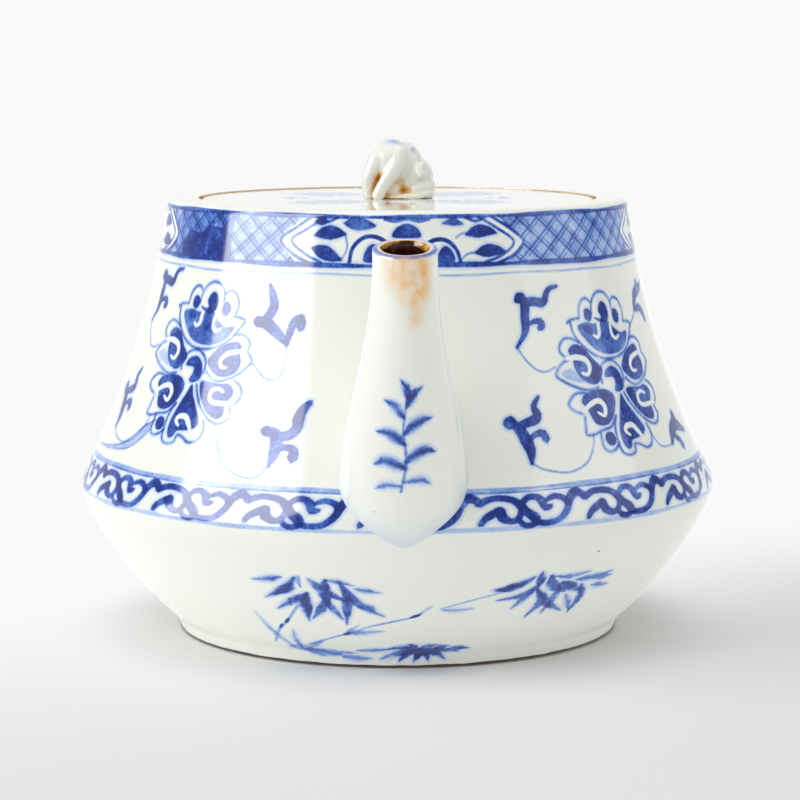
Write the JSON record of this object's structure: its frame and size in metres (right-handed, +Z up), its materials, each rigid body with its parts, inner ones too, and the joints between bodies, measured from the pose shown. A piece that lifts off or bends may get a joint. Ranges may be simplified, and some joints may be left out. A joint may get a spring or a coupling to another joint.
{
  "type": "teapot",
  "caption": "Squat keeled porcelain teapot with a tapering spout, a loop handle and a flat sunken lid that lifts off by a small animal-shaped knob.",
  "frame": {"origin": "middle of the foot ring, on the table", "axes": "+Z up along the pot's axis, -Y towards the spout, +Y towards the handle, +X to the right seen from the spout's side"},
  "size_m": [0.16, 0.2059, 0.1235],
  "materials": {
    "porcelain": "gloss",
    "figure": "satin"
  },
  "bodies": {
    "pot": {"lower_bowl": "porcelain", "upper_wall": "porcelain", "shoulder_ring": "porcelain", "lid_ledge": "porcelain", "spout": "porcelain", "handle": "porcelain"},
    "lid": {"lid_plate": "porcelain", "lid_collar": "porcelain", "knob_body": "figure", "knob_head": "figure", "knob_foreleg_left": "figure", "knob_foreleg_right": "figure", "knob_tail": "figure"}
  },
  "joints": [
    {"name": "lid_lift", "type": "slide", "parent": "pot", "child": "lid", "axis": [0, 0, 1], "range_m": [0, 0.06]}
  ]
}
